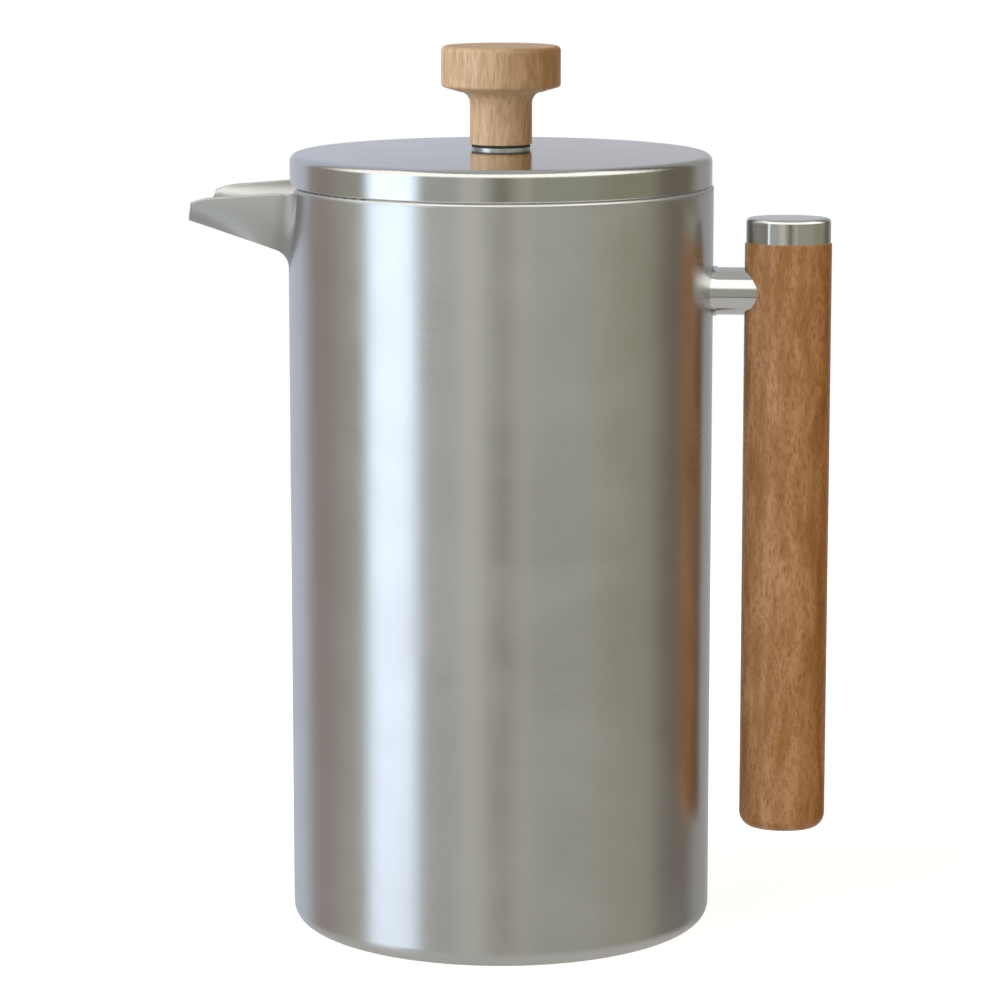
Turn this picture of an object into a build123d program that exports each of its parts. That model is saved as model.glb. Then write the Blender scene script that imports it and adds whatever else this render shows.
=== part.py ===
"""French press with a double steel wall, a wooden grip and a sliding plunger.

Millimetres, +Z up. The vessel stands on z = 0 with its axis on Z, the handle on +X and the spout on -X.
The plunger is pressed down, as in the photograph.
"""

import os
from math import asin, cos, degrees, hypot, isclose, pi, radians, sin, tan

from build123d import *

# Vessel: outer shell, base and inner cup
body_radius = 52.5
rim_height = 185.5
shell_wall = 0.8
foot_round = 4.0
foot_ring_width = 9.0
base_thickness = 0.8
base_lap = 3.0
air_gap = 4.7
cup_wall = 0.7
cup_floor_gap = 6.4
cup_corner_round = 6.0
rim_thickness = 1.1
rim_round = 0.9

# Spout: an open trough of half-elliptic section that narrows and rises to its lip
spout_reach = 24.8
spout_root_half_width = 20.5
spout_lip_half_width = 18.8
spout_root_depth = 16.9
spout_lip_depth = 6.6
spout_rim_drop = 1.8
spout_sheet = 1.0
spout_blend = 5.0
spout_rim_start = 1.5
lip_bow = 3.8
lip_round_length = 8.5
lip_round_drop = 2.8
trough_back = 15.7
patch_margin = 3.0
patch_margin_angle = 3.0

# Handle: post, wooden grip and cap
grip_half_width = 10.7
grip_half_depth = 8.1
finger_gap = 7.8
grip_below_rim = 13.7
grip_length = 147.7
grip_end_round = 4.2
cap_inset = 0.3
cap_height = 6.1
cap_round = 1.2
cap_wall = 1.0
tenon_fit = 0.1
tenon_gap = 0.6
post_below_top = 12.2
post_radius = 5.85
post_past_axis = 4.0
post_fit = 0.1
collar_rim = 0.3
collar_length = 1.0
stud_radius = 2.5
stud_fit = 0.2
stud_end_gap = 1.0

# Lid: cover, liner and guide bush
lid_inset = 0.4
lid_height = 7.6
lid_crown = 1.1
lid_wall = 0.9
lid_edge_round = 2.0
lid_foot_chamfer = 0.3
liner_wall = 0.7
liner_fit = 0.4
liner_depth = 9.0
liner_seat = 0.2
liner_corner_round = 2.0
bush_wall = 1.1
bush_flange_radius = 7.25
bush_flange = 0.5
bush_seat_margin = 1.4
bush_turn_fit = 0.08
ring_width = 2.4
ring_thickness = 0.8
ring_play = 0.1

# Plunger: rod, knob and what holds it
rod_radius = 3.0
rod_slide_fit = 0.06
spigot_radius = 2.5
washer_radius = 7.2
washer_thickness = 0.75
washer_fit = 0.1
knob_disc_radius = 14.7
knob_disc_height = 9.9
knob_stem_radius = 7.65
knob_height = 24.0
knob_top_round = 1.2
knob_under_round = 0.8
knob_under_slope = 1.2
knob_cove = 3.0
insert_radius = 4.2
insert_length = 9.0
insert_recess = 1.0

# Filter stack on the lower end of the rod
hub_floor_gap = 3.8
hub_across = 11.0
hub_height = 5.0
cross_edge_gap = 3.0
cross_thickness = 0.8
cross_inner_holes = 6
cross_outer_holes = 12
cross_inner_share = 0.38
cross_outer_share = 0.745
cross_inner_hole = 3.6
cross_outer_hole = 5.2
screen_thickness = 0.4
screen_wall_gap = 0.3
screen_rim_height = 6.0
plate_thickness = 0.8
plate_holes = 12
plate_hole = 4.2
plate_hole_share = 0.56
coil_turns = 32
steps_per_turn = 10
coil_radius = 1.9
wire_radius = 0.45
wire_sides = 6
slot_width = 2.7
coil_side_gap = 0.25
coil_plate_gap = 0.35
coil_opening = 9.0
collar_radius = 6.0
collar_height = 5.5
collar_round = 0.8

# Worked out from the values above
cup_outer_radius = body_radius - shell_wall - air_gap
bore_radius = cup_outer_radius - cup_wall
shell_top = rim_height - rim_thickness
base_top = shell_wall + base_thickness
cup_bottom = base_top + cup_floor_gap
cup_floor = cup_bottom + cup_wall
foot_ring_inner = body_radius - foot_round - foot_ring_width
quarter = sin(radians(45))
same_size = 1e-6
seam_slack = shell_wall / 10
edge_marks = (0.2, 0.5, 0.8)
plain_edges = (GeomType.CIRCLE, GeomType.LINE)

grip_axis = body_radius + finger_gap + grip_half_width
grip_top = rim_height - grip_below_rim
grip_bottom = grip_top - grip_length
post_height = grip_top - post_below_top
cap_half_width = grip_half_width - cap_inset
cap_half_depth = grip_half_depth - cap_inset
cap_top = grip_top + cap_height
tenon_half_width = cap_half_width - cap_wall - tenon_fit
tenon_half_depth = cap_half_depth - cap_wall - tenon_fit
tenon_top = cap_top - cap_wall - tenon_gap
stud_bottom = post_height - post_radius

lid_radius = body_radius - lid_inset
lid_edge_top = rim_height + lid_height
lid_top = lid_edge_top + lid_crown
liner_radius = bore_radius - liner_fit
liner_bottom = rim_height - liner_depth
bush_bore = rod_radius + rod_slide_fit
bush_radius = bush_bore + bush_wall
bush_hole = bush_radius + bush_turn_fit
flange_top = lid_top + bush_flange
seat_radius = bush_flange_radius + bush_seat_margin
ring_top = liner_bottom - ring_play
ring_bottom = ring_top - ring_thickness

knob_bottom = flange_top + washer_thickness
knob_top = knob_bottom + knob_height
knob_under = knob_top - knob_disc_height
insert_bottom = knob_bottom + insert_recess
insert_top = insert_bottom + insert_length

hub_bottom = cup_floor + hub_floor_gap
hub_top = hub_bottom + hub_height
cross_top = hub_top + cross_thickness
screen_top = cross_top + screen_thickness
plate_top = screen_top + plate_thickness
stack_hole = spigot_radius + washer_fit
plate_middle = screen_top + plate_thickness / 2
screen_radius = bore_radius - screen_wall_gap
coil_ring_radius = screen_radius - screen_thickness - coil_side_gap - wire_radius - coil_radius
coil_reach = coil_radius + wire_radius
channel_floor = plate_middle - coil_reach - coil_side_gap
channel_inner = coil_ring_radius - coil_reach - coil_side_gap
plate_radius = coil_ring_radius - coil_plate_gap
plate_hole_pitch = plate_hole_share * plate_radius
cross_radius = channel_inner - screen_thickness - cross_edge_gap
cross_inner_pitch = cross_inner_share * cross_radius
cross_outer_pitch = cross_outer_share * cross_radius


def trough_half_width(reach, inset):
    """Half width of the spout's section at a distance from the vessel's axis."""
    share = (reach - body_radius) / spout_reach
    return spout_root_half_width + share * (spout_lip_half_width - spout_root_half_width) - inset


def trough_depth(reach, inset):
    """Depth of the spout's section below its rim at a distance from the vessel's axis."""
    share = (reach - body_radius) / spout_reach
    return spout_root_depth + share * (spout_lip_depth - spout_root_depth) - inset


def trough_rim(reach):
    """Height of the spout's rim at a distance from the vessel's axis."""
    share = (reach - body_radius) / spout_reach
    return shell_top - share * spout_rim_drop


def trough_section(reach, inset):
    """Full ellipse of the trough on a plane square to the spout."""
    plane = Plane(origin=(-reach, 0, trough_rim(reach)), x_dir=(0, 0, 1), z_dir=(-1, 0, 0))
    with BuildSketch(plane) as section:
        Ellipse(trough_depth(reach, inset), trough_half_width(reach, inset))
    return section.sketch


def rings_of(builder, radius):
    """Round edges of one radius, from the lowest to the highest."""
    rounds = builder.edges().filter_by(GeomType.CIRCLE)
    return rounds.filter_by(lambda edge: isclose(edge.radius, radius, rel_tol=same_size)).sort_by(Axis.Z)


def on_wall(edge):
    """Whether an edge runs along the outside of the shell."""
    marks = [edge @ share for share in edge_marks]
    return all(abs(hypot(mark.X, mark.Y) - body_radius) < seam_slack for mark in marks)


def save(builder, name):
    """Label a finished piece and write it as a STEP file."""
    builder.part.label = name
    export_step(builder.part, f"parts/{name}.step")


os.makedirs("parts", exist_ok=True)

trough_start = body_radius - trough_back
trough_end = body_radius + spout_reach
cutter_start = trough_start - spout_sheet
cutter_end = trough_end + spout_sheet
blend_centre = spout_root_half_width + spout_blend
patch_half_angle = degrees(asin(blend_centre / (body_radius + spout_blend))) + patch_margin_angle
patch_bottom = shell_top - spout_root_depth - spout_blend - patch_margin
patch_height = shell_top - patch_bottom

# Hollow of the spout, cut from the spout and from the cup's rim
with BuildPart() as trough_hollow:
    loft(sections=[trough_section(cutter_start, spout_sheet), trough_section(cutter_end, spout_sheet)])

# Wedge of the wall that the spout's own piece of sheet takes
with BuildPart() as patch_wedge:
    with BuildSketch(Plane.XY.offset(patch_bottom)):
        with BuildLine():
            wedge_reach = 2 * body_radius
            wedge_half_width = wedge_reach * tan(radians(patch_half_angle))
            near_corner = (-wedge_reach, wedge_half_width)
            far_corner = (-wedge_reach, -wedge_half_width)
            Polyline((0, 0), near_corner, far_corner, close=True)
        make_face()
    extrude(amount=patch_height)

# Outer shell with its rounded foot and turned-in foot ring
with BuildPart() as outer_shell:
    with BuildSketch(Plane.XZ):
        with BuildLine():
            outer_round = foot_round
            inner_round = foot_round - shell_wall
            round_axis = body_radius - foot_round
            outer_middle = (round_axis + outer_round * quarter, foot_round - outer_round * quarter)
            inner_middle = (round_axis + inner_round * quarter, foot_round - inner_round * quarter)
            Line((foot_ring_inner, 0), (round_axis, 0))
            ThreePointArc((round_axis, 0), outer_middle, (body_radius, foot_round))
            Line((body_radius, foot_round), (body_radius, shell_top))
            Line((body_radius, shell_top), (body_radius - shell_wall, shell_top))
            Line((body_radius - shell_wall, shell_top), (body_radius - shell_wall, foot_round))
            ThreePointArc((body_radius - shell_wall, foot_round), inner_middle, (round_axis, shell_wall))
            Line((round_axis, shell_wall), (foot_ring_inner, shell_wall))
            Line((foot_ring_inner, shell_wall), (foot_ring_inner, 0))
        make_face()
    revolve(axis=Axis.Z)
    add(patch_wedge.part, mode=Mode.SUBTRACT)
save(outer_shell, "outer_shell")

# Base plate flush with the foot ring below and lapped onto it from inside
with BuildPart() as base_plate:
    with BuildSketch(Plane.XY):
        Circle(foot_ring_inner)
    extrude(amount=shell_wall)
    with BuildSketch(Plane.XY.offset(shell_wall)):
        Circle(foot_ring_inner + base_lap)
    extrude(amount=base_thickness)
save(base_plate, "base_plate")

# Inner cup with a flange at the rim that covers the shell's edge
with BuildPart() as inner_vessel:
    with BuildSketch(Plane.XZ):
        with BuildLine():
            outer_round = cup_corner_round
            inner_round = cup_corner_round - cup_wall
            round_axis = cup_outer_radius - cup_corner_round
            round_height = cup_bottom + cup_corner_round
            outer_middle = (round_axis + outer_round * quarter, round_height - outer_round * quarter)
            inner_middle = (round_axis + inner_round * quarter, round_height - inner_round * quarter)
            Line((0, cup_bottom), (round_axis, cup_bottom))
            ThreePointArc((round_axis, cup_bottom), outer_middle, (cup_outer_radius, round_height))
            Line((cup_outer_radius, round_height), (cup_outer_radius, shell_top))
            Line((cup_outer_radius, shell_top), (body_radius, shell_top))
            Line((body_radius, shell_top), (body_radius, rim_height))
            Line((body_radius, rim_height), (bore_radius, rim_height))
            Line((bore_radius, rim_height), (bore_radius, round_height))
            ThreePointArc((bore_radius, round_height), inner_middle, (round_axis, cup_floor))
            Line((round_axis, cup_floor), (0, cup_floor))
            Line((0, cup_floor), (0, cup_bottom))
        make_face()
    revolve(axis=Axis.Z)
    rim_edges = [rings_of(inner_vessel, bore_radius)[-1], rings_of(inner_vessel, body_radius)[-1]]
    fillet(rim_edges, radius=rim_round)
    add(trough_hollow.part, mode=Mode.SUBTRACT)
save(inner_vessel, "inner_vessel")

# Spout: a piece of the wall with the trough blended into it
with BuildPart() as spout:
    with BuildSketch(Plane.XY.offset(patch_bottom)):
        Circle(body_radius)
        Circle(body_radius - shell_wall, mode=Mode.SUBTRACT)
    extrude(amount=patch_height)
    add(patch_wedge.part, mode=Mode.INTERSECT)
    loft(sections=[trough_section(trough_start, 0), trough_section(trough_end, 0)])
    with BuildSketch(Plane.XY.offset(shell_top)):
        Rectangle(2 * trough_end, 2 * body_radius)
    extrude(amount=patch_height, mode=Mode.SUBTRACT)
    seam_edges = spout.edges().filter_by(on_wall).filter_by(lambda edge: edge.geom_type not in plain_edges)
    fillet(seam_edges, radius=spout_blend)
    add(trough_hollow.part, mode=Mode.SUBTRACT)
    with BuildSketch(Plane.XZ):
        with BuildLine():
            slope_start = (-body_radius - spout_rim_start, shell_top)
            round_reach = trough_end - lip_round_length
            round_start = (-round_reach, trough_rim(round_reach))
            round_end = (-cutter_end, trough_rim(cutter_end) - lip_round_drop)
            above_end = (-cutter_end, shell_top + spout_rim_drop)
            above_start = (slope_start[0], above_end[1])
            slope = (round_start[0] - slope_start[0], round_start[1] - slope_start[1])
            Line(slope_start, round_start)
            TangentArc(round_start, round_end, tangent=slope)
            Polyline(round_end, above_end, above_start, slope_start)
        make_face()
    extrude(amount=2 * body_radius, both=True, mode=Mode.SUBTRACT)
    with BuildSketch(Plane.XY):
        with BuildLine():
            corner_reach = trough_end - lip_bow
            side = body_radius
            Line((-corner_reach, side), (0, side))
            Line((0, side), (0, -side))
            Line((0, -side), (-corner_reach, -side))
            Line((-corner_reach, -side), (-corner_reach, -spout_root_half_width))
            ThreePointArc(
                (-corner_reach, -spout_root_half_width),
                (-trough_end, 0),
                (-corner_reach, spout_root_half_width),
            )
            Line((-corner_reach, spout_root_half_width), (-corner_reach, side))
        make_face()
    extrude(amount=rim_height, mode=Mode.INTERSECT)
    with BuildSketch(Plane.XY.offset(patch_bottom)):
        Circle(cup_outer_radius)
    extrude(amount=patch_height, mode=Mode.SUBTRACT)
save(spout, "spout")

# Collar and post, both cut to the round of the shell
with BuildPart() as post_collar:
    with BuildSketch(Plane.YZ.offset(body_radius - collar_length)):
        with Locations((0, post_height)):
            Circle(post_radius + collar_rim)
            Circle(post_radius, mode=Mode.SUBTRACT)
    extrude(amount=2 * collar_length)
    with BuildSketch(Plane.XY):
        Circle(body_radius)
    extrude(amount=rim_height, mode=Mode.SUBTRACT)
save(post_collar, "post_collar")

with BuildPart() as handle_post:
    with BuildSketch(Plane.YZ.offset(body_radius - collar_length)):
        with Locations((0, post_height)):
            Circle(post_radius)
    extrude(amount=grip_axis + post_past_axis - body_radius + collar_length)
    with BuildSketch(Plane.XY):
        Circle(body_radius)
    extrude(amount=rim_height, mode=Mode.SUBTRACT)
    with Locations(Plane.XY.offset(post_height + post_radius)):
        with Locations((grip_axis, 0)):
            Hole(radius=stud_radius, depth=2 * post_radius)
save(handle_post, "handle_post")

# Oval wooden grip with a tenon for the cap, a bore for the post and a blind bore for the stud
with BuildPart() as handle_grip:
    with BuildSketch(Plane.XY.offset(grip_bottom)):
        with Locations((grip_axis, 0)):
            Ellipse(grip_half_width, grip_half_depth)
    extrude(amount=grip_length)
    fillet(handle_grip.edges().group_by(Axis.Z)[0], radius=grip_end_round)
    chamfer(handle_grip.edges().group_by(Axis.Z)[-1], length=cap_inset)
    with BuildSketch(Plane.XY.offset(grip_top)):
        with Locations((grip_axis, 0)):
            Ellipse(tenon_half_width, tenon_half_depth)
    extrude(amount=tenon_top - grip_top)
    with BuildSketch(Plane.YZ.offset(grip_axis - grip_half_width)):
        with Locations((0, post_height)):
            Circle(post_radius + post_fit)
    extrude(amount=grip_half_width + post_past_axis + post_fit, mode=Mode.SUBTRACT)
    with BuildSketch(Plane.XY.offset(tenon_top)):
        with Locations((grip_axis, 0)):
            Circle(stud_radius + stud_fit)
    extrude(amount=stud_bottom - stud_end_gap - tenon_top, mode=Mode.SUBTRACT)
save(handle_grip, "handle_grip")

with BuildPart() as handle_cap:
    with BuildSketch(Plane.XY.offset(grip_top)):
        with Locations((grip_axis, 0)):
            Ellipse(cap_half_width, cap_half_depth)
    extrude(amount=cap_height)
    fillet(handle_cap.edges().group_by(Axis.Z)[-1], radius=cap_round)
    with BuildSketch(Plane.XY.offset(grip_top)):
        with Locations((grip_axis, 0)):
            Ellipse(cap_half_width - cap_wall, cap_half_depth - cap_wall)
    extrude(amount=cap_height - cap_wall, mode=Mode.SUBTRACT)
save(handle_cap, "handle_cap")

with BuildPart() as handle_stud:
    with BuildSketch(Plane.XY.offset(stud_bottom)):
        with Locations((grip_axis, 0)):
            Circle(stud_radius)
    extrude(amount=cap_top - cap_wall - stud_bottom)
save(handle_stud, "handle_stud")

# Lid cover, a low crowned cap whose side stands on the rim
with BuildPart() as lid_cover:
    with BuildSketch(Plane.XZ):
        with BuildLine():
            crown_middle = ((lid_radius + seat_radius) / 2, lid_top - lid_crown / 4)
            under_middle = (crown_middle[0], crown_middle[1] - lid_wall)
            inner_radius = lid_radius - lid_wall
            under_edge = lid_edge_top - lid_wall
            Line((0, lid_top - lid_wall), (0, lid_top))
            Line((0, lid_top), (seat_radius, lid_top))
            ThreePointArc((seat_radius, lid_top), crown_middle, (lid_radius, lid_edge_top))
            Line((lid_radius, lid_edge_top), (lid_radius, rim_height))
            Line((lid_radius, rim_height), (inner_radius, rim_height))
            Line((inner_radius, rim_height), (inner_radius, under_edge))
            ThreePointArc((inner_radius, under_edge), under_middle, (seat_radius, lid_top - lid_wall))
            Line((seat_radius, lid_top - lid_wall), (0, lid_top - lid_wall))
        make_face()
    revolve(axis=Axis.Z)
    fillet(rings_of(lid_cover, lid_radius)[-1], radius=lid_edge_round)
    fillet(rings_of(lid_cover, inner_radius)[-1], radius=lid_edge_round - lid_wall)
    chamfer(rings_of(lid_cover, lid_radius)[0], length=lid_foot_chamfer)
    with BuildSketch(Plane.XY.offset(rim_height)):
        Circle(bush_hole)
    extrude(amount=2 * lid_height, mode=Mode.SUBTRACT)
save(lid_cover, "lid_cover")

# Lid liner, a pan that reaches down into the mouth and is joined to the cover's side
with BuildPart() as lid_liner:
    with BuildSketch(Plane.XZ):
        with BuildLine():
            seat_bottom = rim_height + liner_seat
            seat_top = seat_bottom + liner_wall
            Polyline(
                (0, liner_bottom),
                (liner_radius, liner_bottom),
                (liner_radius, seat_bottom),
                (lid_radius - lid_wall, seat_bottom),
                (lid_radius - lid_wall, seat_top),
                (liner_radius - liner_wall, seat_top),
                (liner_radius - liner_wall, liner_bottom + liner_wall),
                (0, liner_bottom + liner_wall),
                close=True,
            )
        make_face()
    revolve(axis=Axis.Z)
    fillet(rings_of(lid_liner, liner_radius)[0], radius=liner_corner_round)
    fillet(rings_of(lid_liner, liner_radius - liner_wall)[0], radius=liner_corner_round - liner_wall)
    with BuildSketch(Plane.XY.offset(liner_bottom)):
        Circle(bush_hole)
    extrude(amount=liner_wall, mode=Mode.SUBTRACT)
save(lid_liner, "lid_liner")

# Guide bush through the lid and the ring that keeps it there
with BuildPart() as lid_bush:
    with BuildSketch(Plane.XY.offset(ring_bottom)):
        Circle(bush_radius)
    extrude(amount=lid_top - ring_bottom)
    with BuildSketch(Plane.XY.offset(lid_top)):
        Circle(bush_flange_radius)
    extrude(amount=bush_flange)
    with BuildSketch(Plane.XY.offset(ring_bottom)):
        Circle(bush_bore)
    extrude(amount=flange_top - ring_bottom, mode=Mode.SUBTRACT)
save(lid_bush, "lid_bush")

with BuildPart() as bush_ring:
    with BuildSketch(Plane.XY.offset(ring_bottom)):
        Circle(bush_radius + ring_width)
        Circle(bush_radius, mode=Mode.SUBTRACT)
    extrude(amount=ring_thickness)
save(bush_ring, "bush_ring")

# Rod with a threaded spigot at each end
with BuildPart() as plunger_rod:
    with BuildSketch(Plane.XY.offset(hub_bottom)):
        Circle(spigot_radius)
    extrude(amount=insert_top - hub_bottom)
    with BuildSketch(Plane.XY.offset(plate_top)):
        Circle(rod_radius)
    extrude(amount=knob_bottom - plate_top)
save(plunger_rod, "plunger_rod")

# Turned knob: a disc whose underside falls into a cove above the stem
with BuildPart() as knob:
    with BuildSketch(Plane.XZ):
        with BuildLine():
            cove_start = (knob_stem_radius + knob_cove, knob_under - knob_under_slope)
            cove_end = (knob_stem_radius, cove_start[1] - knob_cove)
            cove_middle = (cove_start[0] - knob_cove * quarter, cove_end[1] + knob_cove * quarter)
            Line((0, knob_bottom), (0, knob_top))
            Line((0, knob_top), (knob_disc_radius, knob_top))
            Line((knob_disc_radius, knob_top), (knob_disc_radius, knob_under))
            Line((knob_disc_radius, knob_under), cove_start)
            ThreePointArc(cove_start, cove_middle, cove_end)
            Line(cove_end, (knob_stem_radius, knob_bottom))
            Line((knob_stem_radius, knob_bottom), (0, knob_bottom))
        make_face()
    revolve(axis=Axis.Z)
    fillet(rings_of(knob, knob_disc_radius)[-1], radius=knob_top_round)
    fillet(rings_of(knob, knob_disc_radius)[0], radius=knob_under_round)
    with BuildSketch(Plane.XY.offset(knob_bottom)):
        Circle(insert_radius)
    extrude(amount=insert_top - knob_bottom, mode=Mode.SUBTRACT)
save(knob, "knob")

with BuildPart() as knob_insert:
    with BuildSketch(Plane.XY.offset(insert_bottom)):
        Circle(insert_radius)
        Circle(spigot_radius, mode=Mode.SUBTRACT)
    extrude(amount=insert_length)
save(knob_insert, "knob_insert")

with BuildPart() as knob_washer:
    with BuildSketch(Plane.XY.offset(flange_top)):
        Circle(washer_radius)
        Circle(rod_radius + washer_fit, mode=Mode.SUBTRACT)
    extrude(amount=washer_thickness)
save(knob_washer, "knob_washer")

# Collar that the filter stack is clamped against
with BuildPart() as rod_collar:
    with BuildSketch(Plane.XY.offset(plate_top)):
        Circle(collar_radius)
    extrude(amount=collar_height)
    fillet(rod_collar.edges().group_by(Axis.Z)[-1], radius=collar_round)
    with BuildSketch(Plane.XY.offset(plate_top)):
        Circle(rod_radius)
    extrude(amount=collar_height, mode=Mode.SUBTRACT)
save(rod_collar, "rod_collar")

# Coil: a wire wound around a ring in short straight runs, with its two ends left apart
coil_angle = 2 * pi - coil_opening / coil_ring_radius
coil_steps = coil_turns * steps_per_turn


def coil_point(step):
    """Centre of the wire after a number of steps from the coil's start."""
    ring = coil_angle * (step / coil_steps - 0.5)
    wind = 2 * pi * step / steps_per_turn
    reach = coil_ring_radius - coil_radius * cos(wind)
    return Vector(reach * cos(ring), reach * sin(ring), plate_middle + coil_radius * sin(wind))


wire_points = [coil_point(step) for step in range(coil_steps + 1)]
with BuildPart() as spring_coil:
    with BuildLine() as coil_path:
        Polyline(*wire_points)
    with BuildSketch(Plane(origin=wire_points[0], z_dir=wire_points[1] - wire_points[0])):
        RegularPolygon(radius=wire_radius, side_count=wire_sides)
    sweep(path=coil_path.wires()[0], transition=Transition.RIGHT)
save(spring_coil, "spring_coil")

least_spacing = min(
    (wire_points[step] - wire_points[other]).length
    for step in range(coil_steps)
    for other in range(step + steps_per_turn // 2, min(step + 2 * steps_per_turn, coil_steps))
)
print(f"coil: least gap to itself {least_spacing - 2 * wire_radius:.2f} mm")

# Spiral plate: its edge runs inside the coil, with a slot for each turn of the wire
with BuildPart() as spiral_plate:
    with BuildSketch(Plane.XY.offset(screen_top)):
        Circle(plate_radius)
        Circle(stack_hole, mode=Mode.SUBTRACT)
        with PolarLocations(plate_hole_pitch, plate_holes):
            Circle(plate_hole, mode=Mode.SUBTRACT)
        slot_inner = coil_ring_radius - coil_reach - coil_plate_gap
        slot_depth = plate_radius - slot_inner
        for turn in range(coil_turns + 1):
            slot_angle = degrees(coil_angle * (turn / coil_turns - 0.5))
            with Locations(Rotation(0, 0, slot_angle)):
                with Locations((plate_radius - slot_depth / 2, 0)):
                    Rectangle(slot_depth + wire_radius, slot_width, mode=Mode.SUBTRACT)
    extrude(amount=plate_thickness)
save(spiral_plate, "spiral_plate")

# Filter screen: flat under the plate, then a channel that goes round the coil
with BuildPart() as filter_screen:
    with BuildSketch(Plane.XZ):
        with BuildLine():
            rim_top = channel_floor + screen_rim_height
            Polyline(
                (stack_hole, cross_top),
                (channel_inner - screen_thickness, cross_top),
                (channel_inner - screen_thickness, channel_floor - screen_thickness),
                (screen_radius, channel_floor - screen_thickness),
                (screen_radius, rim_top),
                (screen_radius - screen_thickness, rim_top),
                (screen_radius - screen_thickness, channel_floor),
                (channel_inner, channel_floor),
                (channel_inner, screen_top),
                (stack_hole, screen_top),
                close=True,
            )
        make_face()
    revolve(axis=Axis.Z)
save(filter_screen, "filter_screen")

# Cross plate with two rings of openings
with BuildPart() as cross_plate:
    with BuildSketch(Plane.XY.offset(hub_top)):
        Circle(cross_radius)
        Circle(stack_hole, mode=Mode.SUBTRACT)
        with PolarLocations(cross_inner_pitch, cross_inner_holes):
            Circle(cross_inner_hole, mode=Mode.SUBTRACT)
        with PolarLocations(cross_outer_pitch, cross_outer_holes):
            Circle(cross_outer_hole, mode=Mode.SUBTRACT)
    extrude(amount=cross_thickness)
save(cross_plate, "cross_plate")

# Nut under the stack
with BuildPart() as hub_nut:
    with BuildSketch(Plane.XY.offset(hub_bottom)):
        RegularPolygon(radius=hub_across / 2, side_count=6, major_radius=False)
        Circle(spigot_radius, mode=Mode.SUBTRACT)
    extrude(amount=hub_height)
save(hub_nut, "hub_nut")
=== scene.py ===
"""Looks of a double-walled steel french press with a beech grip and knob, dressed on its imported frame."""

import functools
import logging
import math
from dataclasses import dataclass, field
from enum import Enum

import bmesh
import bpy
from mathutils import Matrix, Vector


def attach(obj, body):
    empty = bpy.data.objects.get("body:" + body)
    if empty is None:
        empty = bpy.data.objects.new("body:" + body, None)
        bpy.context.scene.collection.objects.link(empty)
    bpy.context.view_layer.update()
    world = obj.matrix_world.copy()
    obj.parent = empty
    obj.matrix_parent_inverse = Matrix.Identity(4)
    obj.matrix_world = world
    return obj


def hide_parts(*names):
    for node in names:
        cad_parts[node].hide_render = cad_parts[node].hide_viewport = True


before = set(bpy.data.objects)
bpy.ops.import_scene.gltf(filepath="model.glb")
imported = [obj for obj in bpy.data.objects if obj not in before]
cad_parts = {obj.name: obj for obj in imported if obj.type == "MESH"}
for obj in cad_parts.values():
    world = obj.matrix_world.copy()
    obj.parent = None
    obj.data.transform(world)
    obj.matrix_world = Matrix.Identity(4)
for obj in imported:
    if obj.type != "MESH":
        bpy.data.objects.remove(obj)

Colour = tuple[float, float, float]
Point = tuple[float, float, float]
Span = tuple[float, float]
Socket = bpy.types.NodeSocket

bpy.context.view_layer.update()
SMOOTHED = ("handle_post", "post_collar", "lid_bush", "plunger_rod", "knob_washer", "rod_collar")
WHITE: Colour = (1.0, 1.0, 1.0)
FULL_TURN = 2.0 * math.pi

log = logging.getLogger("french_press")


class BrushRun(Enum):
    """Way that the fine lines run on a piece of steel."""

    AROUND = "around the upright axis"
    TURNED = "in rings on a flat face"


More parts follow.
